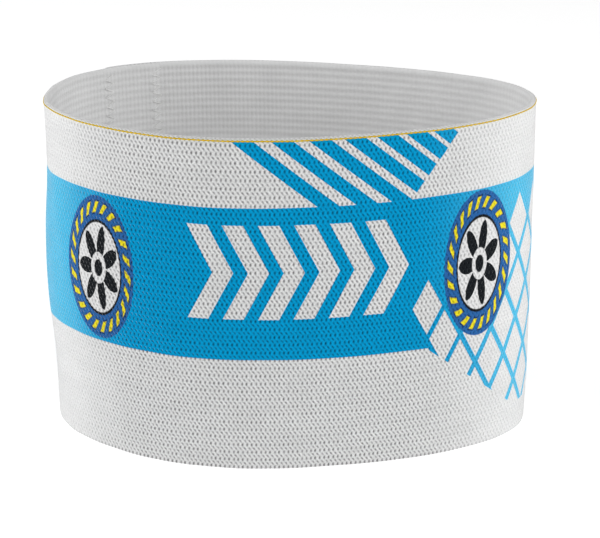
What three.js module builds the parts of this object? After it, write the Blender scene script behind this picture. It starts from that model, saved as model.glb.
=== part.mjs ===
// A captain's armband: one loop of woven elastic, knitted smooth outside and ribbed inside.
//
// It stands on its lower edge, the way the empty elastic comes to rest: a flattened oval with a blunt left
// end and a narrower right end, whose walls lean a little. The loop is sewn from one strip, whose two ends
// lie over each other at the left of the back wall. One end's cut edge shows as a step inside, the other's
// as a step outside, and past it the under layer swings back out into line.
//
// Millimetres. +X runs to the right, towards the narrow end, +Y to the back wall and +Z up.
// The origin is on the floor, under the middle of the loop.
import * as THREE from "three";

// The elastic
const BAND_HEIGHT = 75; // the width of the strip, which is the height of the standing loop
const WALL = 1.4; // from the outer face to the crests of the inner ribs
const RIB_PITCH = 1.6; // from one covered rubber cord to the next
const RIB_DEPTH = 0.2; // from the crests of the ribs down to the valleys between them
const EDGE_WALL = 0.9; // how thick the strip is at its woven edges, where the last rib tapers
const EDGE_ROUND = 0.3; // how far those edges are rounded over outside

// The loop, over its outer face at the upper edge
const LOOP_WIDTH = 105.4;
const LOOP_DEPTH = 61.1;
const TWIST = -1; // degrees that the lower edge is turned round Z against the upper one

// The sewn join
const LAP_PLACE = 0.356; // where its inner step is, as a share of the way round from the narrow end
const LAP_LENGTH = 12; // how far one end of the strip reaches over the other
const LAP_RISE = 0.7; // what the second layer, pressed flat by its stitches, adds to the wall
const CUT_EDGE = 0.6; // the length over which a cut end falls to the layer under it
const SWING_BACK = 9; // the length over which the under layer comes back into line

// How finely the faces are divided
const ROUND_STEPS = 38;
const HEIGHT_STEPS = 8;

// The loop seen from above is a sum of waves round it. The first row alone is a plain ellipse. The second
// and third blunt one end, narrow the other and swell the back, and the fourth straightens the long sides.
// across is a share of half the width, deep a share of half the depth.
const WAVES = [
  { count: 1, acrossCos: 1, acrossSin: 0, deepCos: 0, deepSin: 1 },
  { count: 2, acrossCos: 0.08, acrossSin: 0.05, deepCos: 0, deepSin: 0.02 },
  { count: 3, acrossCos: -0.015, acrossSin: -0.015, deepCos: 0.04, deepSin: -0.03 },
  { count: 4, acrossCos: 0.005, acrossSin: -0.02, deepCos: 0.01, deepSin: 0.025 },
];

// How far each side stands out past the upper edge, at shares of the height. left and right are shares of
// half the width, front and back of half the depth. The ends bulge, and the long walls lean inwards.
const LEAN = [
  { height: 0, left: 0.015, right: 0.025, front: -0.075, back: -0.03 },
  { height: 0.2, left: 0.015, right: 0.025, front: -0.06, back: -0.025 },
  { height: 0.4, left: 0.03, right: 0.02, front: -0.045, back: -0.02 },
  { height: 0.6, left: 0.025, right: 0.015, front: -0.03, back: -0.015 },
  { height: 0.8, left: 0.005, right: 0.005, front: -0.015, back: -0.005 },
  { height: 1, left: 0, right: 0, front: 0, back: 0 },
];

function sumOfWaves(turn) {
  const sum = new THREE.Vector2();
  for (const wave of WAVES) {
    const cos = Math.cos(wave.count * turn);
    const sin = Math.sin(wave.count * turn);
    sum.x += wave.acrossCos * cos + wave.acrossSin * sin;
    sum.y += wave.deepCos * cos + wave.deepSin * sin;
  }
  return sum;
}

const BOX_SAMPLES = 720;
const wavesBox = new THREE.Box2();
for (let i = 0; i < BOX_SAMPLES; i++) {
  wavesBox.expandByPoint(sumOfWaves((i / BOX_SAMPLES) * 2 * Math.PI));
}
const wavesMiddle = wavesBox.getCenter(new THREE.Vector2());
const halfWavesSize = wavesBox.getSize(new THREE.Vector2()).divideScalar(2);

const leanAtHeight = new THREE.CubicInterpolant(
  LEAN.map((row) => row.height),
  LEAN.flatMap((row) => [row.left, row.right, row.front, row.back]),
  4,
);

const UP = new THREE.Vector3(0, 0, 1);

// The outline of the outer face at one height, anticlockwise from the middle of the narrow end. A side's
// lean fades out with the square of how far out that side lies, so it leaves no crease.
class OuterOutline extends THREE.Curve {
  constructor(height) {
    super();
    this.height = height;
    this.twist = THREE.MathUtils.degToRad(TWIST) * (1 - height / BAND_HEIGHT);
    [this.left, this.right, this.front, this.back] = leanAtHeight.evaluate(height / BAND_HEIGHT);
  }

  getPoint(share, target = new THREE.Vector3()) {
    const place = sumOfWaves(share * 2 * Math.PI).sub(wavesMiddle).divide(halfWavesSize);
    const across = this.right * Math.max(place.x, 0) ** 2 - this.left * Math.max(-place.x, 0) ** 2;
    const deep = this.back * Math.max(place.y, 0) ** 2 - this.front * Math.max(-place.y, 0) ** 2;
    target.set(((place.x + across) * LOOP_WIDTH) / 2, ((place.y + deep) * LOOP_DEPTH) / 2, this.height);
    return target.applyAxisAngle(UP, this.twist);
  }

  // A point in the wall, at a depth behind the outer face.
  getPointInside(share, depth) {
    const along = this.getTangent(share);
    const inward = new THREE.Vector3(-along.y, along.x, 0);
    return this.getPoint(share).addScaledVector(inward, depth);
  }
}

// How far each face lies inwards of its plain place along the join, as shares of the lap's rise. reach is
// how far the row lies past the row before it, and the stretch between two rows is straight.
const JOIN = [
  { reach: 0, inner: 0, outer: 0 },
  { reach: CUT_EDGE, inner: 1, outer: 0 },
  { reach: (LAP_LENGTH - CUT_EDGE) / 2, inner: 1, outer: 0 },
  { reach: (LAP_LENGTH - CUT_EDGE) / 2, inner: 1, outer: 0 },
  { reach: CUT_EDGE, inner: 1, outer: 1 },
  { reach: SWING_BACK / 3, inner: 0.7, outer: 0.7 },
  { reach: SWING_BACK / 3, inner: 0.25, outer: 0.25 },
  { reach: SWING_BACK / 3, inner: 0, outer: 0 },
];

// The stations round the loop: the rows of the join, and even steps from its end on round to its start.
function roundStations() {
  const upperEdge = new OuterOutline(BAND_HEIGHT);
  let length = LAP_PLACE * upperEdge.getLength();
  const stations = JOIN.map(({ reach, inner, outer }) => {
    length += reach;
    return { share: upperEdge.getUtoTmapping(0, length), inner: inner * LAP_RISE, outer: outer * LAP_RISE };
  });
  const joinStart = stations[0].share;
  const joinEnd = stations[stations.length - 1].share;
  for (let i = 1; i < ROUND_STEPS; i++) {
    const share = joinEnd + ((joinStart + 1 - joinEnd) * i) / ROUND_STEPS;
    stations.push({ share: share % 1, inner: 0, outer: 0 });
  }
  return stations;
}

// The rings of the wall's section: up the outer face, over the upper edge, down the ribs and back over the
// lower edge. Each follows either the outer or the inner face through the join. The strip holds whole ribs,
// so the outer side of the last one tapers to the edge.
function sectionRings() {
  const faceHeight = BAND_HEIGHT - 2 * EDGE_ROUND;
  const rings = [];
  for (let i = 0; i <= HEIGHT_STEPS; i++) {
    rings.push({ height: EDGE_ROUND + (faceHeight * i) / HEIGHT_STEPS, depth: 0, face: "outer" });
  }
  rings.push({ height: BAND_HEIGHT, depth: EDGE_ROUND, face: "outer" });
  rings.push({ height: BAND_HEIGHT, depth: EDGE_WALL, face: "inner" });
  const ribSteps = 2 * Math.round(BAND_HEIGHT / RIB_PITCH);
  for (let i = ribSteps - 1; i > 0; i--) {
    const valley = i % 2 ? 0 : RIB_DEPTH;
    rings.push({ height: (BAND_HEIGHT * i) / ribSteps, depth: WALL - valley, face: "inner" });
  }
  rings.push({ height: 0, depth: EDGE_WALL, face: "inner" });
  rings.push({ height: 0, depth: EDGE_ROUND, face: "outer" });
  return rings;
}

// One closed skin, with a quad between each two rings and each two stations.
function bandGeometry() {
  const stations = roundStations();
  const rings = sectionRings();
  const points = rings.flatMap((ring) => {
    const outline = new OuterOutline(ring.height);
    return stations.map((station) => outline.getPointInside(station.share, ring.depth + station[ring.face]));
  });
  const index = [];
  for (let ring = 0; ring < rings.length; ring++) {
    const low = ring * stations.length;
    const high = ((ring + 1) % rings.length) * stations.length;
    for (let here = 0; here < stations.length; here++) {
      const next = (here + 1) % stations.length;
      index.push(low + here, low + next, high + next);
      index.push(low + here, high + next, high + here);
    }
  }
  const geometry = new THREE.BufferGeometry().setFromPoints(points).setIndex(index);
  geometry.computeVertexNormals();
  return geometry;
}

const elasticBand = new THREE.Mesh(
  bandGeometry(),
  new THREE.MeshStandardMaterial({ color: 0xd2d7da, roughness: 0.9, metalness: 0 }),
);
elasticBand.name = "elastic_band";

// The leaning walls move the loop's middle a little, so the finished band is set over the origin.
const bandBox = new THREE.Box3().setFromObject(elasticBand);
const bandMiddle = bandBox.getCenter(new THREE.Vector3());
elasticBand.position.set(-bandMiddle.x, -bandMiddle.y, -bandBox.min.z);

const captainArmband = new THREE.Group();
captainArmband.add(elasticBand);

export default captainArmband;
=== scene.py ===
import math

import bpy
import numpy as np
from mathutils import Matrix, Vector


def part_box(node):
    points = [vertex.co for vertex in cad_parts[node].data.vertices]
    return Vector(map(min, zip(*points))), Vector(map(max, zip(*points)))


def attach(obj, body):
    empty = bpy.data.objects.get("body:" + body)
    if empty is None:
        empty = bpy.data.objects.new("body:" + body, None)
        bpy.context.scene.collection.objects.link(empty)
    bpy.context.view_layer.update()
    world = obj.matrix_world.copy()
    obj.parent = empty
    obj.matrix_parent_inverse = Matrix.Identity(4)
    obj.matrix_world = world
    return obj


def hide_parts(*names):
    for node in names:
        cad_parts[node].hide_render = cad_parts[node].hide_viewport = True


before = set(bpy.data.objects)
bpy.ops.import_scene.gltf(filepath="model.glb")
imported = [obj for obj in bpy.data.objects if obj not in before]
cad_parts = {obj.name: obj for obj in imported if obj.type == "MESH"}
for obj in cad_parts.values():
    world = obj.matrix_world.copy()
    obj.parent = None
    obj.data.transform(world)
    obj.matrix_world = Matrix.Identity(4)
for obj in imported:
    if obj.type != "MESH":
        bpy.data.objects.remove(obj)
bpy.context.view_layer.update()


# The elastic loop: one strip of white knitted elastic, printed in blue, sewn end to end and standing on its
# lower edge. Polyester yarn covers 47 rubber cords, which show inside as level ribs. Outside it is knitted
# smooth, with a dimple at each stitch that lies half a stitch over from those in the next row.

MM = 0.001  # the loop is worked out in millimetres and made in metres

low_corner, high_corner = (1000 * np.array(corner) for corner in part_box("elastic_band"))
STRIP_WIDTH = high_corner[2] - low_corner[2]
LOOP_WIDTH = 105.4  # over the outer face, at the upper edge
LOOP_DEPTH = 61.1
LOWER_EDGE_TWIST = math.radians(-1)  # how far the lower edge is turned against the upper one
WALL = 1.4
EDGE_WALL = 0.9  # the wall at the strip's upper and lower edge, where the last rib tapers
EDGE_ROUND = 0.3
CROWN_START = 1.2 * EDGE_ROUND  # how far in from the outer face the edge is flat

STITCHES = 273  # round the loop
STITCH_ROWS = 82  # up the strip
DIMPLE_DEPTH = 0.22
SCALLOP = 0.03  # how far each stitch stands out of the strip's edges
RIB_PITCH = 1.6
RIB_DEPTH = 0.2
RINGS_PER_RIB = 4
TAPER_RINGS = 2

# The loop from above, as waves round it: shares of half the width (across) and of half the depth (deep).
WAVES = [
    {"count": 1, "across_cos": 1, "across_sin": 0, "deep_cos": 0, "deep_sin": 1},
    {"count": 2, "across_cos": 0.08, "across_sin": 0.05, "deep_cos": 0, "deep_sin": 0.02},
    {"count": 3, "across_cos": -0.015, "across_sin": -0.015, "deep_cos": 0.04, "deep_sin": -0.03},
    {"count": 4, "across_cos": 0.005, "across_sin": -0.02, "deep_cos": 0.01, "deep_sin": 0.025},
]

# How far each side stands out past the upper edge: shares of half the width (left, right) and of half the
# depth (front, back).
LEAN = [
    {"height": 0.0, "left": 0.015, "right": 0.025, "front": -0.075, "back": -0.03},
    {"height": 0.2, "left": 0.015, "right": 0.025, "front": -0.06, "back": -0.025},
    {"height": 0.4, "left": 0.03, "right": 0.02, "front": -0.045, "back": -0.02},
    {"height": 0.6, "left": 0.025, "right": 0.015, "front": -0.03, "back": -0.015},
    {"height": 0.8, "left": 0.005, "right": 0.005, "front": -0.015, "back": -0.005},
    {"height": 1.0, "left": 0.0, "right": 0.0, "front": 0.0, "back": 0.0},
]


def sum_of_waves(turn):
    across = np.zeros_like(turn)
    deep = np.zeros_like(turn)
    for wave in WAVES:
        cosine = np.cos(wave["count"] * turn)
        sine = np.sin(wave["count"] * turn)
        across += wave["across_cos"] * cosine + wave["across_sin"] * sine
        deep += wave["deep_cos"] * cosine + wave["deep_sin"] * sine
    return across, deep


FULL_TURN = np.linspace(0, 2 * np.pi, 4001)
wave_across, wave_deep = sum_of_waves(FULL_TURN)


def lean_at(side, height):
    """One side's lean at shares of the height, eased through the rows of the table."""
    rows = np.array([row["height"] for row in LEAN])
    leans = np.array([row[side] for row in LEAN])
    slopes = np.gradient(leans, rows)
    below = np.clip(np.searchsorted(rows, height, side="right") - 1, 0, len(rows) - 2)
    step = rows[below + 1] - rows[below]
    t = (height - rows[below]) / step
    rise = leans[below + 1] - leans[below]
    ease = t * t * (3 - 2 * t)
    start_slope, end_slope = slopes[below] * step, slopes[below + 1] * step
    return leans[below] + rise * ease + start_slope * t * (1 - t) ** 2 - end_slope * t * t * (1 - t)


def outer_face(turn, up):
    """x and y of the outer face, for turns round the loop and millimetres up it, before it is centred."""
    across, deep = sum_of_waves(turn)
    across = (across - (wave_across.max() + wave_across.min()) / 2) / np.ptp(wave_across) * 2
    deep = (deep - (wave_deep.max() + wave_deep.min()) / 2) / np.ptp(wave_deep) * 2
    height = np.clip(up / STRIP_WIDTH, 0, 1)
    wide = across + lean_at("right", height) * np.clip(across, 0, None) ** 2
    wide -= lean_at("left", height) * np.clip(-across, 0, None) ** 2
    long = deep + lean_at("back", height) * np.clip(deep, 0, None) ** 2
    long -= lean_at("front", height) * np.clip(-deep, 0, None) ** 2
    x, y = wide * LOOP_WIDTH / 2, long * LOOP_DEPTH / 2
    twist = LOWER_EDGE_TWIST * (1 - height)
    return x * np.cos(twist) - y * np.sin(twist), x * np.sin(twist) + y * np.cos(twist)


heights = np.linspace(0, STRIP_WIDTH, 76)[:, None]
plain_x, plain_y = outer_face(FULL_TURN[None, :], heights)
shift_x = (low_corner[0] + high_corner[0] - plain_x.min() - plain_x.max()) / 2
shift_y = (low_corner[1] + high_corner[1] - plain_y.min() - plain_y.max()) / 2

# Places round the loop are given as millimetres along the strip, from the middle of the narrow end and
# anticlockwise from above, so that they run to the right on the front.
edge_x, edge_y = outer_face(FULL_TURN, STRIP_WIDTH)
edge_along = np.concatenate([[0], np.cumsum(np.hypot(np.diff(edge_x), np.diff(edge_y)))])
LOOP_LENGTH = edge_along[-1]
STITCH = LOOP_LENGTH / STITCHES
STITCH_ROW = STRIP_WIDTH / STITCH_ROWS

# The join, where the strip's ends lie over each other: how far each face lies inwards of its plain place, as
# shares of the lap's rise, at millimetres past the inner cut edge.
JOIN_START = 0.356 * LOOP_LENGTH
LAP_LENGTH = 12
LAP_RISE = 0.7
CUT_EDGE = 0.6
SWING_BACK = 9
JOIN = [
    {"past": 0, "inner": 0, "outer": 0},
    {"past": CUT_EDGE, "inner": 1, "outer": 0},
    {"past": LAP_LENGTH, "inner": 1, "outer": 0},
    {"past": LAP_LENGTH + CUT_EDGE, "inner": 1, "outer": 1},
    {"past": LAP_LENGTH + CUT_EDGE + SWING_BACK / 3, "inner": 0.7, "outer": 0.7},
    {"past": LAP_LENGTH + CUT_EDGE + SWING_BACK * 2 / 3, "inner": 0.25, "outer": 0.25},
    {"past": LAP_LENGTH + CUT_EDGE + SWING_BACK, "inner": 0, "outer": 0},
]

# Round the two ends the knit is drawn tight over the cords, so its dimples close up there. Millimetres from
# the middle of each end to where the knit is tight, and to where it lies loose again. Over the same stretch
# the knit's colour is painted lighter, as painted light, and its dimples' painted shade fainter.
TIGHT_ENDS = [
    {"middle": 2, "tight": 14, "loose": 46},
    {"middle": 133, "tight": 11, "loose": 38},
]
CLOSED_UP = 0.8  # the share of a dimple that closes where the knit is tight


def tightness(along):
    tight = np.zeros_like(along)
    for end in TIGHT_ENDS:
        away = np.abs((along - end["middle"] + LOOP_LENGTH / 2) % LOOP_LENGTH - LOOP_LENGTH / 2)
        share = np.clip((end["loose"] - away) / (end["loose"] - end["tight"]), 0, 1)
        tight = np.maximum(tight, share * share * (3 - 2 * share))
    return tight


# The cloth isn't quite even: it swells and sinks by a tenth of a millimetre over a few centimetres.
WAVINESS = [
    {"height": 0.07, "round": 5, "up": 0.9, "start": 0.4},
    {"height": 0.06, "round": 11, "up": 1.7, "start": 2.1},
    {"height": 0.04, "round": 23, "up": 3.1, "start": 4.0},
]


def wall_points(along, up, depth, face):
    """Points in the wall, in millimetres: along the strip, up it, and behind one of its faces."""
    turn = np.interp(along % LOOP_LENGTH, edge_along, FULL_TURN)
    x, y = outer_face(turn, up)
    reach = 1e-3
    x_ahead, y_ahead = outer_face(turn + reach, up)
    x_behind, y_behind = outer_face(turn - reach, up)
    forward_x, forward_y = x_ahead - x_behind, y_ahead - y_behind
    forward = np.hypot(forward_x, forward_y)
    past = [row["past"] for row in JOIN]
    inwards = depth + LAP_RISE * np.interp(along - JOIN_START, past, [row[face] for row in JOIN])
    for wave in WAVINESS:
        inwards = inwards + wave["height"] * np.sin(
            wave["round"] * turn + wave["up"] * up / STRIP_WIDTH * 2 * np.pi + wave["start"]
        )
    x = x - forward_y / forward * inwards + shift_x
    y = y + forward_x / forward * inwards + shift_y
    return np.stack([x, y, up + np.zeros_like(x)], axis=-1)


class Skin:
    """The cloth's surface, laid down ring by ring round the wall's section.

    Each corner of a face also gets its place on the strip, which the print needs.
    """

    def __init__(self):
        self.points = []
        self.faces = []
        self.places = []
        self.finishes = []
        self.count = 0

    def ring(self, up, depth, face, columns, mapped_up=None):
        along = np.arange(columns) * LOOP_LENGTH / columns
        self.points.append(wall_points(along, up, depth, face))
        first = self.count
        self.count += columns
        return {"first": first, "columns": columns, "up": up if mapped_up is None else mapped_up}

    def join(self, lower, upper, finish):
        """Faces between two rings; one may have twice as many columns as the other."""
        columns = min(lower["columns"], upper["columns"])
        k = np.arange(columns)
        if lower["columns"] == upper["columns"]:
            corners = [[(lower, k), (lower, k + 1), (upper, k + 1), (upper, k)]]
        elif lower["columns"] > upper["columns"]:
            corners = [
                [(lower, 2 * k), (lower, 2 * k + 1), (upper, k)],
                [(lower, 2 * k + 1), (upper, k + 1), (upper, k)],
                [(lower, 2 * k + 1), (lower, 2 * k + 2), (upper, k + 1)],
            ]
        else:
            corners = [
                [(lower, k), (upper, 2 * k + 1), (upper, 2 * k)],
                [(lower, k), (lower, k + 1), (upper, 2 * k + 1)],
                [(lower, k + 1), (upper, 2 * k + 2), (upper, 2 * k + 1)],
            ]
        for face in corners:
            corner_numbers = [ring["first"] + at % ring["columns"] for ring, at in face]
            self.faces += np.stack(corner_numbers, axis=1).tolist()
            places = []
            for ring, at in face:
                along = at / ring["columns"] * LOOP_LENGTH
                places.append(np.stack([along, np.full(columns, ring["up"])], axis=1))
            self.places += np.stack(places, axis=1).reshape(-1, 2).tolist()
            self.finishes += [finish] * columns


OUTSIDE, INSIDE = 0, 1  # the two finishes of the cloth
columns = 2 * STITCHES
skin = Skin()

# Up the outer face, with a vertex in the middle of each dimple and on each crest between dimples.
rings = []
dimple_depth = DIMPLE_DEPTH * (1 - CLOSED_UP * tightness(np.arange(columns) * LOOP_LENGTH / columns))
for row in range(STITCH_ROWS):
    dimpled = (np.arange(columns) + row) % 2 == 1
    rings.append(skin.ring((row + 0.5) * STITCH_ROW, np.where(dimpled, dimple_depth, 0.0), "outer", columns))
for lower, upper in zip(rings, rings[1:]):
    skin.join(lower, upper, OUTSIDE)
bottom_row, top_row = rings[0], rings[-1]

# Over the upper edge, which is rounded and slightly scalloped by the stitches.
scallop = SCALLOP * np.cos(np.arange(columns) * np.pi)
shoulder_up = STRIP_WIDTH - EDGE_ROUND / 3
shoulder = skin.ring(shoulder_up + scallop, EDGE_ROUND / 3, "outer", columns, shoulder_up)
skin.join(top_row, shoulder, OUTSIDE)
crown_outer = skin.ring(STRIP_WIDTH, CROWN_START, "outer", STITCHES, STRIP_WIDTH + EDGE_ROUND)
skin.join(shoulder, crown_outer, OUTSIDE)
crown_inner = skin.ring(STRIP_WIDTH, EDGE_WALL, "inner", STITCHES, STRIP_WIDTH + EDGE_WALL)
skin.join(crown_outer, crown_inner, OUTSIDE)

# Down the ribs: a crest at each covered cord and a narrow valley between two. The outer side of the last
# rib at either edge rounds off into the edge.
RIBS = round(STRIP_WIDTH / RIB_PITCH)
half_rib = STRIP_WIDTH / RIBS / 2
tapers = []
for ring in range(1, TAPER_RINGS):
    swing = math.pi / 2 * ring / TAPER_RINGS
    tapers.append((half_rib * (1 - math.cos(swing)), EDGE_WALL + (WALL - EDGE_WALL) * math.sin(swing)))
above = crown_inner
for from_edge, depth in tapers:
    below = skin.ring(STRIP_WIDTH - from_edge, depth, "inner", STITCHES)
    skin.join(above, below, INSIDE)
    above = below
half_steps = RINGS_PER_RIB // 2
for step in range(RIBS * RINGS_PER_RIB - half_steps, half_steps - 1, -1):
    crest = abs(math.sin(math.pi * step / RINGS_PER_RIB))
    up = STRIP_WIDTH * step / (RIBS * RINGS_PER_RIB)
    below = skin.ring(up, WALL - RIB_DEPTH * (1 - crest), "inner", STITCHES)
    skin.join(above, below, INSIDE)
    above = below
for from_edge, depth in reversed(tapers):
    below = skin.ring(from_edge, depth, "inner", STITCHES)
    skin.join(above, below, INSIDE)
    above = below

# And back over the lower edge.
sole_inner = skin.ring(0.0, EDGE_WALL, "inner", STITCHES, -EDGE_WALL)
skin.join(above, sole_inner, OUTSIDE)
sole_outer = skin.ring(0.0, CROWN_START, "outer", STITCHES, -EDGE_ROUND)
skin.join(sole_inner, sole_outer, OUTSIDE)
heel = skin.ring(EDGE_ROUND / 3 + scallop, EDGE_ROUND / 3, "outer", columns, EDGE_ROUND / 3)
skin.join(sole_outer, heel, OUTSIDE)
skin.join(heel, bottom_row, OUTSIDE)

band_mesh = bpy.data.meshes.new("elastic_loop")
band_mesh.from_pydata((np.concatenate(skin.points) * MM).tolist(), [], skin.faces)
band_mesh.polygons.foreach_set("material_index", skin.finishes)
band_mesh.polygons.foreach_set("use_smooth", [True] * len(skin.faces))
strip_map = band_mesh.uv_layers.new(name="strip")  # millimetres along the strip and up it
strip_map.data.foreach_set("uv", np.array(skin.places).ravel())
elastic_loop = bpy.data.objects.new("elastic_loop", band_mesh)
bpy.context.scene.collection.objects.link(elastic_loop)


def dye(red, green, blue):
    """A colour as it is read off a screen, from 0 to 255, in the linear light that the materials use."""
    screen = np.array([red, green, blue]) / 255
    light = np.where(screen <= 0.04045, screen / 12.92, ((screen + 0.055) / 1.055) ** 2.4)
    return (*light.tolist(), 1.0)


class Measure:
    """A number that varies over the cloth, worked out by the material's nodes."""

    def __init__(self, tree, socket):
        self.tree = tree
        self.socket = socket

    def worked(self, operation, *others, kept_to_one=False):
        node = self.tree.nodes.new("ShaderNodeMath")
        node.operation = operation
        node.use_clamp = kept_to_one
        for place, value in zip(node.inputs, (self, *others)):
            if isinstance(value, Measure):
                self.tree.links.new(value.socket, place)
            else:
                place.default_value = value
        return Measure(self.tree, node.outputs[0])

    def __add__(self, other):
        return self.worked("ADD", other)

    def __sub__(self, other):
        return self.worked("SUBTRACT", other)

    def __rsub__(self, other):
        return self.worked("MULTIPLY_ADD", -1.0, other)

    def __mul__(self, other):
        return self.worked("MULTIPLY", other)

    def __truediv__(self, other):
        return self.worked("DIVIDE", other)

    def __abs__(self):
        return self.worked("ABSOLUTE")

    def past_whole(self):
        return self.worked("FRACT")

    def both(self, other):
        return self.worked("MINIMUM", other)

    def either(self, other):
        return self.worked("MAXIMUM", other)

    def cosine(self):
        return self.worked("COSINE")

    def inked(self, bleed=0.12):
        """1 where the number is above 0 and 0 where it is below, with an edge as soft as ink in yarn."""
        return self.worked("MULTIPLY_ADD", 1 / bleed, 0.5, kept_to_one=True)


def strip_places(tree):
    """Millimetres along the strip and up it."""
    place = tree.nodes.new("ShaderNodeUVMap")
    place.uv_map = "strip"
    parts = tree.nodes.new("ShaderNodeSeparateXYZ")
    tree.links.new(place.outputs["UV"], parts.inputs["Vector"])
    return Measure(tree, parts.outputs["X"]), Measure(tree, parts.outputs["Y"])


def by_chance(across, up):
    """A number from 0 to 1, one for each whole pair of numbers."""
    tree = across.tree
    pair = tree.nodes.new("ShaderNodeCombineXYZ")
    tree.links.new(across.socket, pair.inputs["X"])
    tree.links.new(up.socket, pair.inputs["Y"])
    chance = tree.nodes.new("ShaderNodeTexWhiteNoise")
    chance.noise_dimensions = "2D"
    tree.links.new(pair.outputs["Vector"], chance.inputs["Vector"])
    return Measure(tree, chance.outputs["Value"])


def cloudy(along, up, size, detail=2.0):
    """A number that drifts round 0.5 over patches of about that size in millimetres."""
    tree = along.tree
    pair = tree.nodes.new("ShaderNodeCombineXYZ")
    tree.links.new(along.socket, pair.inputs["X"])
    tree.links.new(up.socket, pair.inputs["Y"])
    cloud = tree.nodes.new("ShaderNodeTexNoise")
    cloud.noise_dimensions = "2D"
    cloud.inputs["Scale"].default_value = 1 / size
    cloud.inputs["Detail"].default_value = detail
    tree.links.new(pair.outputs["Vector"], cloud.inputs["Vector"])
    return Measure(tree, cloud.outputs["Fac"])


def coloured(tree, socket, colour):
    """Gives a socket a dye, or the colour that other nodes have worked out."""
    if isinstance(colour, tuple):
        socket.default_value = colour[:len(socket.default_value)]
    else:
        tree.links.new(colour, socket)


def printed(tree, cloth, ink, cover):
    """The cloth's colour with an ink over it wherever cover is 1."""
    mix = tree.nodes.new("ShaderNodeMix")
    mix.data_type = "RGBA"
    coloured(tree, mix.inputs["A"], cloth)
    coloured(tree, mix.inputs["B"], ink)
    tree.links.new(cover.socket, mix.inputs["Factor"])
    return mix.outputs["Result"]


def shaded(tree, colour, light):
    """A colour made lighter or darker by a measure."""
    scale = tree.nodes.new("ShaderNodeVectorMath")
    scale.operation = "SCALE"
    coloured(tree, scale.inputs[0], colour)
    tree.links.new(light.socket, scale.inputs["Scale"])
    return scale.outputs["Vector"]


def yarn_shader(tree, colour, relief, relief_height, sheen):
    """Matt yarn with a soft bloom at its edges, and fine relief in millimetres."""
    shader = tree.nodes["Principled BSDF"]
    tree.links.new(colour, shader.inputs["Base Color"])
    shader.inputs["Roughness"].default_value = 0.85
    shader.inputs["Specular IOR Level"].default_value = 0.05
    shader.inputs["Sheen Weight"].default_value = sheen
    shader.inputs["Sheen Roughness"].default_value = 0.25
    bump = tree.nodes.new("ShaderNodeBump")
    bump.inputs["Strength"].default_value = 1.0
    bump.inputs["Distance"].default_value = relief_height * MM
    tree.links.new(relief.socket, bump.inputs["Height"])
    tree.links.new(bump.outputs["Normal"], shader.inputs["Normal"])


# The print. Every place is in millimetres along the strip and up it.
WHITE_YARN = dye(233, 233, 233)
BLUE_INK = dye(0, 160, 217)
PAINTED_END_LIGHT_INK = dye(84, 194, 234)  # painted light: the blue is painted paler round the two ends, as if lit more strongly there
PRINT_MARGIN = 0.5  # what the print leaves bare below the strip's upper edge
STRIPE = {"low": 26.2, "high": 60.4}

MEDAL_INK = dye(46, 104, 170)
MEDAL_LINE_INK = dye(24, 62, 112)
YELLOW_INK = dye(244, 228, 40)
BLACK_INK = dye(26, 30, 34)
MEDALS = [
    {"along": 158.6, "up": 43.2, "half_width": 9.0, "half_height": 16.3},
    {"along": 242.3, "up": 43.6, "half_width": 8.7, "half_height": 16.5},
]
DASHES = 22  # round a medal
DASH_HALF_WIDTH = 0.2  # in steps from one dash to the next
DASH_OUTLINE = 0.07
DASH_LEAN = 0.35  # steps for each millimetre outwards
PETALS = 7
# All in shares of a medal's half width:
DASH_RING = 0.84
DASH_HALF_LENGTH = 0.075
DASH_OUTLINE_HALF_LENGTH = 0.1
DISC_OUTLINE = 0.67
DISC = 0.63
PETAL_TIP = 0.60
PETAL_NARROWING = 0.42
PETAL_ROOT = 0.22
HEART = 0.12

CHEVRONS = {"start": 179.5, "pitch": 7.3, "width": 4.3, "count": 6, "low": 35.6, "high": 56.6, "slope": 0.5}

SLANTS = {"start": -0.5, "width": 4.5, "gap": 3.4, "gap_loss": 0.4, "count": 7, "slope": 1.23}
SLANTS_FOOT = 206.6  # where the first one meets the stripe
SLANTS_END = 226.0  # where the last of them does
SLANTS_END_SLOPE = 0.75
SLANTS_OVERLAP = 0.3  # how far they reach into the stripe

NET = {"from": 222.0, "cell_width": 8.0, "cell_height": 15.0, "line": 1.2, "slant": 0.9, "solid_above": 54.0}
NET_BACK = 292.0  # behind the narrow end the net has closed to plain blue again
NET_CLOSING = 20.0  # over which its cells open at one end and close at the other
NET_OPENNESS = 0.92
NET_LOWEST = 7.0
NET_FOOT = {"from": 230.0, "to": 278.0, "slope": 0.8, "overlap": 1.0}  # where it hangs below the stripe

cloth = bpy.data.materials.new("printed_knit")
cloth.use_nodes = True
tree = cloth.node_tree
along, up = strip_places(tree)

# The stitches: dimples in even rows are upright, those in odd rows are flatter and fainter, and lean. Each
# dimple's middle is painted darker, a painted shade in the hollow.
DIMPLE = {"narrow": 3.6, "flat": 2.0, "flatter": 0.5, "lean": 0.4, "stray": 0.16, "faint": 0.25, "shade": 0.62}
YARN = {"lean": -0.2, "odd_lean": 0.9, "shade": 0.07, "odd_shade": 0.03}
STRANDS = {"in_yarn": 3, "lean": 0.6, "relief": 0.10}
PATCH_SIZE = 9.0
FUZZ_SIZE = 0.35
KNIT_SHADE = 0.81  # how much light comes back from the loose knit
PAINTED_END_LIGHT = 0.12  # painted light: how much lighter the knit is painted round the two ends
row = up / STITCH_ROW
row_number = row.worked("FLOOR")
odd = row_number.worked("MODULO", 2.0)
column = along / STITCH + odd * 0.5
from_centre = column.past_whole() - 0.5
above_centre = row.past_whole() - 0.5
chance = by_chance(column.worked("FLOOR"), row_number)
sideways = from_centre + odd * above_centre * DIMPLE["lean"] + (chance - 0.5) * DIMPLE["stray"]
upwards = above_centre * (odd * DIMPLE["flatter"] + DIMPLE["flat"])
reach = (sideways * DIMPLE["narrow"]).worked("POWER", 2.0) + upwards.worked("POWER", 2.0)
dimple = (1.0 - reach).worked("MAXIMUM", 0.0)
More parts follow.
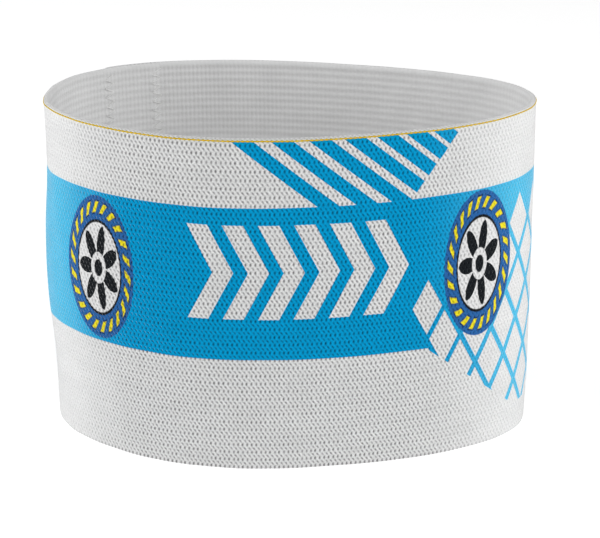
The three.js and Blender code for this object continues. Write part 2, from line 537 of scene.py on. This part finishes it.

# How tight the knit is drawn, and what that leaves of each dimple's painted shade, which fades round the ends.
# The strip's bound edges have none.
tight_ends = []
for end in TIGHT_ENDS:
    turned = (along + (1.5 * LOOP_LENGTH - end["middle"])).worked("MODULO", LOOP_LENGTH)
    within = end["loose"] - abs(turned - LOOP_LENGTH / 2)
    tight_ends.append(within.worked("DIVIDE", end["loose"] - end["tight"], kept_to_one=True))
tight = tight_ends[0].either(tight_ends[1])
tight = tight * tight * (3.0 - tight * 2.0)
# Painted light: the share by which the ends are painted lighter, the blue paler and the white brighter.
painted_end_light_share = tight * tight
left_open = 1.0 - tight * CLOSED_UP
strength = (1.0 - odd * DIMPLE["faint"]) * (chance * 0.4 + 0.8)
strength = strength * left_open * (STRIP_WIDTH - up).inked() * up.inked()

# The yarn between the dimples, with lighter and darker strokes along it that are partly painted highlight and
# shade of its loops and partly its own tone, the strands in it, soft patches and the fuzz of its fibres.
strand_place = (from_centre + above_centre * STRANDS["lean"]) * (2 * math.pi * STRANDS["in_yarn"])
strands = strand_place.cosine()
yarn_place = (from_centre + above_centre * (odd * YARN["odd_lean"] + YARN["lean"])) * (2 * math.pi)
yarn = yarn_place.cosine() * (chance + 0.5)
patches = cloudy(along, up * 2.0, PATCH_SIZE)
fuzz = cloudy(along, up, FUZZ_SIZE, 3.0)
# Painted light and shade on the knit: darker hollows, lighter and darker yarn strokes and lighter ends, with
# random patches and fuzz.
knit_light = (1.0 - dimple * strength * DIMPLE["shade"]) * (patches * 0.10 + 0.95) * (fuzz * 0.5 + 0.75)
yarn_shade = yarn * (odd * YARN["odd_shade"] + YARN["shade"]) * left_open
knit_light = knit_light * (painted_end_light_share * PAINTED_END_LIGHT + KNIT_SHADE - yarn_shade)
relief = (1.0 - dimple) + strands * STRANDS["relief"] + fuzz * 0.5

# The plain stripe.
stripe_middle = (STRIPE["low"] + STRIPE["high"]) / 2
stripe = (up - STRIPE["low"]).inked().both((STRIPE["high"] - up).inked())

# The net of lozenges that the stripe breaks up into on the right. It runs on behind the narrow end.
wrapped = along + (LOOP_LENGTH / 2 - along).worked("GREATER_THAN", 0.0) * LOOP_LENGTH
net_start = (wrapped - NET["from"]).worked("GREATER_THAN", 0.0)
net_across = (wrapped - NET["from"]) / NET["cell_width"]
net_up = (up - stripe_middle) / NET["cell_height"]
rising = net_across + net_up
falling = net_across - net_up
cell_rising = rising.worked("FLOOR")
cell_falling = falling.worked("FLOOR")
cell_along = (cell_rising + cell_falling + 1.0) * 0.5 * NET["cell_width"]
cell_middle = (cell_rising - cell_falling) * 0.5 * NET["cell_height"] + stripe_middle

# Its cells are plain blue at its start, along its upper edge and at its end behind, and open between.
thinning = (cell_along / NET_CLOSING).worked("MINIMUM", 1.0)
closing = ((cell_along + (NET["from"] - NET_BACK + NET_CLOSING)) / NET_CLOSING).worked("MAXIMUM", 0.0)
cell_chance = by_chance(cell_rising, cell_falling)
filled = (cell_chance + closing - thinning * NET_OPENNESS).worked("GREATER_THAN", 0.0)
filled = filled.either(cell_middle.worked("GREATER_THAN", NET["solid_above"]))
near_line = abs(rising.past_whole() - 0.5).either(abs(falling.past_whole() - 0.5))
net_line = ((near_line - 0.5) * NET["cell_width"] * NET["slant"] + NET["line"] / 2).inked()

# Below the stripe only its lines hang on, down to a slanting foot.
net_foot = (STRIPE["low"] - (wrapped - NET_FOOT["from"]) * NET_FOOT["slope"]).worked("MAXIMUM", NET_LOWEST)
hanging = net_line * net_start * (up - net_foot).inked()
hanging = hanging * (STRIPE["low"] + NET_FOOT["overlap"] - up).inked() * (NET_FOOT["to"] - wrapped).inked()
blue = (stripe * (1.0 - net_start)).either(stripe * net_start * net_line.either(filled)).either(hanging)

# Slanting stripes over the stripe's upper edge, with gaps that grow narrower to the right.
slant_place = along + (up - STRIPE["high"]) * SLANTS["slope"] - SLANTS_FOOT
left_edge = SLANTS["start"]
for number in range(SLANTS["count"]):
    right_edge = left_edge + SLANTS["width"]
    bar = (slant_place - left_edge).inked().both((right_edge - slant_place).inked())
    bar = bar.both((up - STRIPE["high"] + SLANTS_OVERLAP).inked())
    bar = bar.both(((up - STRIPE["high"]) * SLANTS_END_SLOPE + SLANTS_END - along).inked())
    blue = blue.either(bar)
    left_edge = right_edge + SLANTS["gap"] - SLANTS["gap_loss"] * number

# A row of white chevrons.
chevron_middle = (CHEVRONS["low"] + CHEVRONS["high"]) / 2
chevron_half = (CHEVRONS["high"] - CHEVRONS["low"]) / 2
from_middle = abs(up - chevron_middle)
chevron_start = CHEVRONS["start"] + chevron_half * CHEVRONS["slope"]
chevron_place = along + from_middle * CHEVRONS["slope"] - chevron_start
in_pitch = (chevron_place / CHEVRONS["pitch"]).past_whole() * CHEVRONS["pitch"]
chevron = in_pitch.inked().both((CHEVRONS["width"] - in_pitch).inked())
row_end = (CHEVRONS["count"] - 1) * CHEVRONS["pitch"] + (CHEVRONS["width"] + CHEVRONS["pitch"]) / 2
chevron = chevron.both(chevron_place.inked()).both((row_end - chevron_place).inked())
chevron = chevron.both((chevron_half - from_middle).inked())
blue = blue.both(1.0 - chevron)
blue = blue.both((STRIP_WIDTH - PRINT_MARGIN - up).inked())

# Painted light: the blue is painted paler round the two ends.
ink = printed(tree, BLUE_INK, PAINTED_END_LIGHT_INK, painted_end_light_share)
colour = printed(tree, WHITE_YARN, ink, blue)

# Two medals: a ring of short yellow dashes round a white disc with a rosette of dark petals.
for medal in MEDALS:
    rim = medal["half_width"]
    across = (along - medal["along"]) / rim
    raised = (up - medal["up"]) / medal["half_height"]
    radius = (across.worked("POWER", 2.0) + raised.worked("POWER", 2.0)).worked("SQRT") * rim
    angle = raised.worked("ARCTAN2", across) / (2 * math.pi)
    from_ring = abs(radius - rim * DASH_RING)
    from_dash = abs((angle * DASHES + radius * DASH_LEAN).past_whole() - 0.5)
    dash = (DASH_HALF_WIDTH - from_dash).inked(0.1).both((rim * DASH_HALF_LENGTH - from_ring).inked())
    outline = (DASH_HALF_WIDTH + DASH_OUTLINE - from_dash).inked(0.1)
    outline = outline.both((rim * DASH_OUTLINE_HALF_LENGTH - from_ring).inked())
    petal = abs((angle * PETALS).past_whole() - 0.5) * 2.0
    petal_edge = rim * PETAL_TIP - petal.worked("POWER", 1.6) * rim * PETAL_NARROWING
    petals = (petal_edge - radius).inked().both((radius - rim * PETAL_ROOT).inked())
    colour = printed(tree, colour, MEDAL_INK, (rim - radius).inked())
    colour = printed(tree, colour, MEDAL_LINE_INK, outline)
    colour = printed(tree, colour, YELLOW_INK, dash)
    colour = printed(tree, colour, BLACK_INK, (rim * DISC_OUTLINE - radius).inked())
    colour = printed(tree, colour, WHITE_YARN, (rim * DISC - radius).inked())
    colour = printed(tree, colour, BLACK_INK, petals.either((rim * HEART - radius).inked()))

colour = shaded(tree, colour, knit_light)
yarn_shader(tree, colour, relief, 0.12, 0.65)

ribbed = bpy.data.materials.new("ribbed_inside")
ribbed.use_nodes = True
tree = ribbed.node_tree
along, up = strip_places(tree)
INSIDE_YARN = dye(225, 225, 225)
# Painted shade: the inside is painted slightly darker in the valleys between the ribs.
valley = (up / (2 * half_rib) * (2 * math.pi)).cosine()
wrap = (along / STITCH * (2 * math.pi)).cosine()
patches = cloudy(along, up * 2.0, 7.0)
fuzz = cloudy(along, up, 0.4, 3.0)
inside_light = (0.98 - valley * 0.02) * (wrap * 0.012 + 0.988)
inside_light = inside_light * (patches * 0.10 + 0.95) * (fuzz * 0.08 + 0.96)
colour = shaded(tree, INSIDE_YARN, inside_light)
relief = wrap * 0.2 + fuzz * 0.5
yarn_shader(tree, colour, relief, 0.10, 0.4)

for finish in (cloth, ribbed):
    band_mesh.materials.append(finish)

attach(elastic_loop, "root")
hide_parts("elastic_band")


# The join's stitches. Two rows of zigzag in white polyester thread, one over each cut end, hold the lap: each
# stitch lies on the cloth and dives into it at both ends, and shows on both faces.

THREAD = 0.18  # its thickness once it is pulled tight
ZIGZAG_WIDTH = 2.6
ZIGZAG_STEP = 1.05
SEAM_MARGIN = 1.2  # from the strip's edges to the first and last stitch
STITCH_ARCH = 1.1  # in thicknesses: how far a stitch rises between its two ends
STITCH_SINK = 0.55  # and how deep those ends lie under the face
STITCH_END = 0.4  # how much of its thickness is left there
STITCH_SECTIONS = 7
THREAD_SIDES = 6

stitch_points, stitch_faces = [], []
for face, outwards in (("outer", 1), ("inner", -1)):
    for cut_end in (JOIN_START + CUT_EDGE / 2, JOIN_START + LAP_LENGTH + CUT_EDGE / 2):
        steps = int((STRIP_WIDTH - 2 * SEAM_MARGIN) / ZIGZAG_STEP)
        for step in range(steps):
            side = 1 if step % 2 else -1
            run = np.linspace(0, 1, STITCH_SECTIONS)
            stitch_along = cut_end + side * ZIGZAG_WIDTH * (run - 0.5)
            stitch_up = SEAM_MARGIN + ZIGZAG_STEP * (step + run)
            lift = THREAD * (STITCH_ARCH * np.sin(np.pi * run) - STITCH_SINK)
            surface = 0.0 if face == "outer" else WALL
            centre = wall_points(stitch_along, stitch_up, surface - outwards * lift, face)
            direction = np.gradient(centre, axis=0)
            direction /= np.linalg.norm(direction, axis=1)[:, None]
            sideways_axis = np.cross(direction, [0, 0, 1])
            sideways_axis /= np.linalg.norm(sideways_axis, axis=1)[:, None]
            other_axis = np.cross(direction, sideways_axis)
            first = sum(len(points) for points in stitch_points)
            around = np.linspace(0, 2 * np.pi, THREAD_SIDES, endpoint=False)
            thickness = THREAD / 2 * np.where((run == 0) | (run == 1), STITCH_END, 1.0)
            section = (
                np.cos(around)[None, :, None] * sideways_axis[:, None, :]
                + np.sin(around)[None, :, None] * other_axis[:, None, :]
            )
            stitch_points.append((centre[:, None, :] + section * thickness[:, None, None]).reshape(-1, 3))
            for ring in range(STITCH_SECTIONS - 1):
                for k in range(THREAD_SIDES):
                    a = first + ring * THREAD_SIDES
                    b = a + THREAD_SIDES
                    after = (k + 1) % THREAD_SIDES
                    stitch_faces.append((a + k, b + k, b + after, a + after))
            stitch_faces.append(tuple(first + k for k in range(THREAD_SIDES)))
            last = first + (STITCH_SECTIONS - 1) * THREAD_SIDES
            stitch_faces.append(tuple(last + k for k in reversed(range(THREAD_SIDES))))

stitch_mesh = bpy.data.meshes.new("join_stitches")
stitch_mesh.from_pydata((np.concatenate(stitch_points) * MM).tolist(), [], stitch_faces)
stitch_mesh.polygons.foreach_set("use_smooth", [True] * len(stitch_faces))
join_stitches = bpy.data.objects.new("join_stitches", stitch_mesh)
bpy.context.scene.collection.objects.link(join_stitches)

thread = bpy.data.materials.new("white_thread")
thread.use_nodes = True
tree = thread.node_tree
place = tree.nodes.new("ShaderNodeTexCoord")
plies = tree.nodes.new("ShaderNodeTexWave")
plies.inputs["Scale"].default_value = 900
plies.inputs["Distortion"].default_value = 2.0
tree.links.new(place.outputs["Object"], plies.inputs["Vector"])
ply = Measure(tree, plies.outputs["Fac"])
colour = printed(tree, dye(245, 245, 244), dye(228, 228, 227), ply)
yarn_shader(tree, colour, ply, 0.05, 0.3)
stitch_mesh.materials.append(thread)

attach(join_stitches, "root")


# The gold edge thread. One gold-coloured thread is knitted in along the upper edge, outside, and shows as a
# small bead at each stitch.

GOLD_THREAD = 0.34  # its thickness in a bead
GOLD_NECK = 0.24  # and between two beads
GOLD_BELOW_EDGE = 0.42
GOLD_SIDES = 6
GOLD_STEPS_PER_STITCH = 4

gold_steps = STITCHES * GOLD_STEPS_PER_STITCH
gold_along = np.arange(gold_steps) * LOOP_LENGTH / gold_steps
gold_swell = 0.5 + 0.5 * np.cos(np.arange(gold_steps) * 2 * np.pi / GOLD_STEPS_PER_STITCH)
gold_radius = (GOLD_NECK + (GOLD_THREAD - GOLD_NECK) * gold_swell) / 2
gold_points = []
for side in range(GOLD_SIDES):
    swing = 2 * np.pi * side / GOLD_SIDES
    gold_up = STRIP_WIDTH - GOLD_BELOW_EDGE + gold_radius * np.sin(swing)
    gold_points.append(wall_points(gold_along, gold_up, GOLD_NECK / 4 - gold_radius * np.cos(swing), "outer"))
gold_faces = []
for side in range(GOLD_SIDES):
    here = side * gold_steps + np.arange(gold_steps)
    ahead = side * gold_steps + (np.arange(gold_steps) + 1) % gold_steps
    beside = gold_steps * ((side + 1) % GOLD_SIDES) - side * gold_steps
    gold_faces += np.stack([here, ahead, ahead + beside, here + beside], axis=1).tolist()
gold_mesh = bpy.data.meshes.new("gold_edge_thread")
gold_mesh.from_pydata((np.concatenate(gold_points) * MM).tolist(), [], gold_faces)
gold_mesh.polygons.foreach_set("use_smooth", [True] * len(gold_faces))
gold_map = gold_mesh.uv_layers.new(name="strip")
gold_places = []
for face in gold_faces:
    first = face[0] % gold_steps
    gold_places += [(first, 0), (first + 1, 0), (first + 1, 1), (first, 1)]
gold_map.data.foreach_set("uv", np.array(gold_places, dtype=float).ravel())
gold_edge_thread = bpy.data.objects.new("gold_edge_thread", gold_mesh)
bpy.context.scene.collection.objects.link(gold_edge_thread)

gilt = bpy.data.materials.new("gold_yarn")
gilt.use_nodes = True
tree = gilt.node_tree
along, up = strip_places(tree)
# Painted light and shade: the gold is painted lighter on each bead and darker at the necks between beads, and
# painted glints lighten and darken it in random patches, which also give its relief.
bead_light = (along / GOLD_STEPS_PER_STITCH * (2 * math.pi)).cosine() * 0.5 + 0.5
glint = cloudy(along, up, 2.5)
colour = printed(tree, dye(178, 146, 6), dye(222, 190, 14), bead_light)
colour = shaded(tree, colour, glint * 0.3 + 0.85)
yarn_shader(tree, colour, glint, 0.02, 0.0)
gold_mesh.materials.append(gilt)

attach(gold_edge_thread, "root")


# The stand-in for a photographer's table: a plain white floor that is lit a little from below, soft boxes in
# front of the loop and beside it, and a long lens that looks down on it from the front.

floor_mesh = bpy.data.meshes.new("floor")
FLOOR_REACH = 3.0
floor_corners = [(x * FLOOR_REACH, y * FLOOR_REACH, 0) for x, y in ((-1, -1), (1, -1), (1, 1), (-1, 1))]
floor_mesh.from_pydata(floor_corners, [], [(0, 1, 2, 3)])
floor = bpy.data.objects.new("floor", floor_mesh)
bpy.context.scene.collection.objects.link(floor)
paper = bpy.data.materials.new("white_paper")
paper.use_nodes = True
paper.node_tree.nodes["Principled BSDF"].inputs["Base Color"].default_value = dye(250, 250, 250)
paper.node_tree.nodes["Principled BSDF"].inputs["Roughness"].default_value = 0.9
paper.node_tree.nodes["Principled BSDF"].inputs["Emission Strength"].default_value = 0.35
floor_mesh.materials.append(paper)

world = bpy.data.worlds.new("white_room")
bpy.context.scene.world = world
world.use_nodes = True
world.node_tree.nodes["Background"].inputs["Color"].default_value = (1.0, 1.0, 1.0, 1.0)
world.node_tree.nodes["Background"].inputs["Strength"].default_value = 0.4

SOFT_BOXES = [
    {"name": "front", "place": (0.0, -1.0, 0.8), "size": 0.8, "power": 2.5},
    {"name": "left", "place": (-0.9, -0.1, 0.45), "size": 0.7, "power": 4.8},
    {"name": "right", "place": (0.9, -0.3, 0.45), "size": 0.7, "power": 4.7},
]
for box in SOFT_BOXES:
    lamp = bpy.data.lights.new("soft_box_" + box["name"], "AREA")
    lamp.shape = "SQUARE"
    lamp.size = box["size"]
    lamp.energy = box["power"]
    soft_box = bpy.data.objects.new("soft_box_" + box["name"], lamp)
    soft_box.location = box["place"]
    towards_loop = -soft_box.location
    soft_box.rotation_euler = towards_loop.to_track_quat("-Z", "Y").to_euler()
    bpy.context.scene.collection.objects.link(soft_box)

bpy.context.scene.view_settings.view_transform = "Standard"

CAMERA_PLACE = (0.0024, -0.3293, 0.1702)
CAMERA_DOWN = 0.3895  # radians below the horizon
camera_data = bpy.data.cameras.new("camera")
camera_data.sensor_width = 36
camera_data.lens = 95.6
camera = bpy.data.objects.new("camera", camera_data)
camera.location = CAMERA_PLACE
camera.rotation_euler = (math.pi / 2 - CAMERA_DOWN, 0, 0)
bpy.context.scene.collection.objects.link(camera)
bpy.context.scene.camera = camera
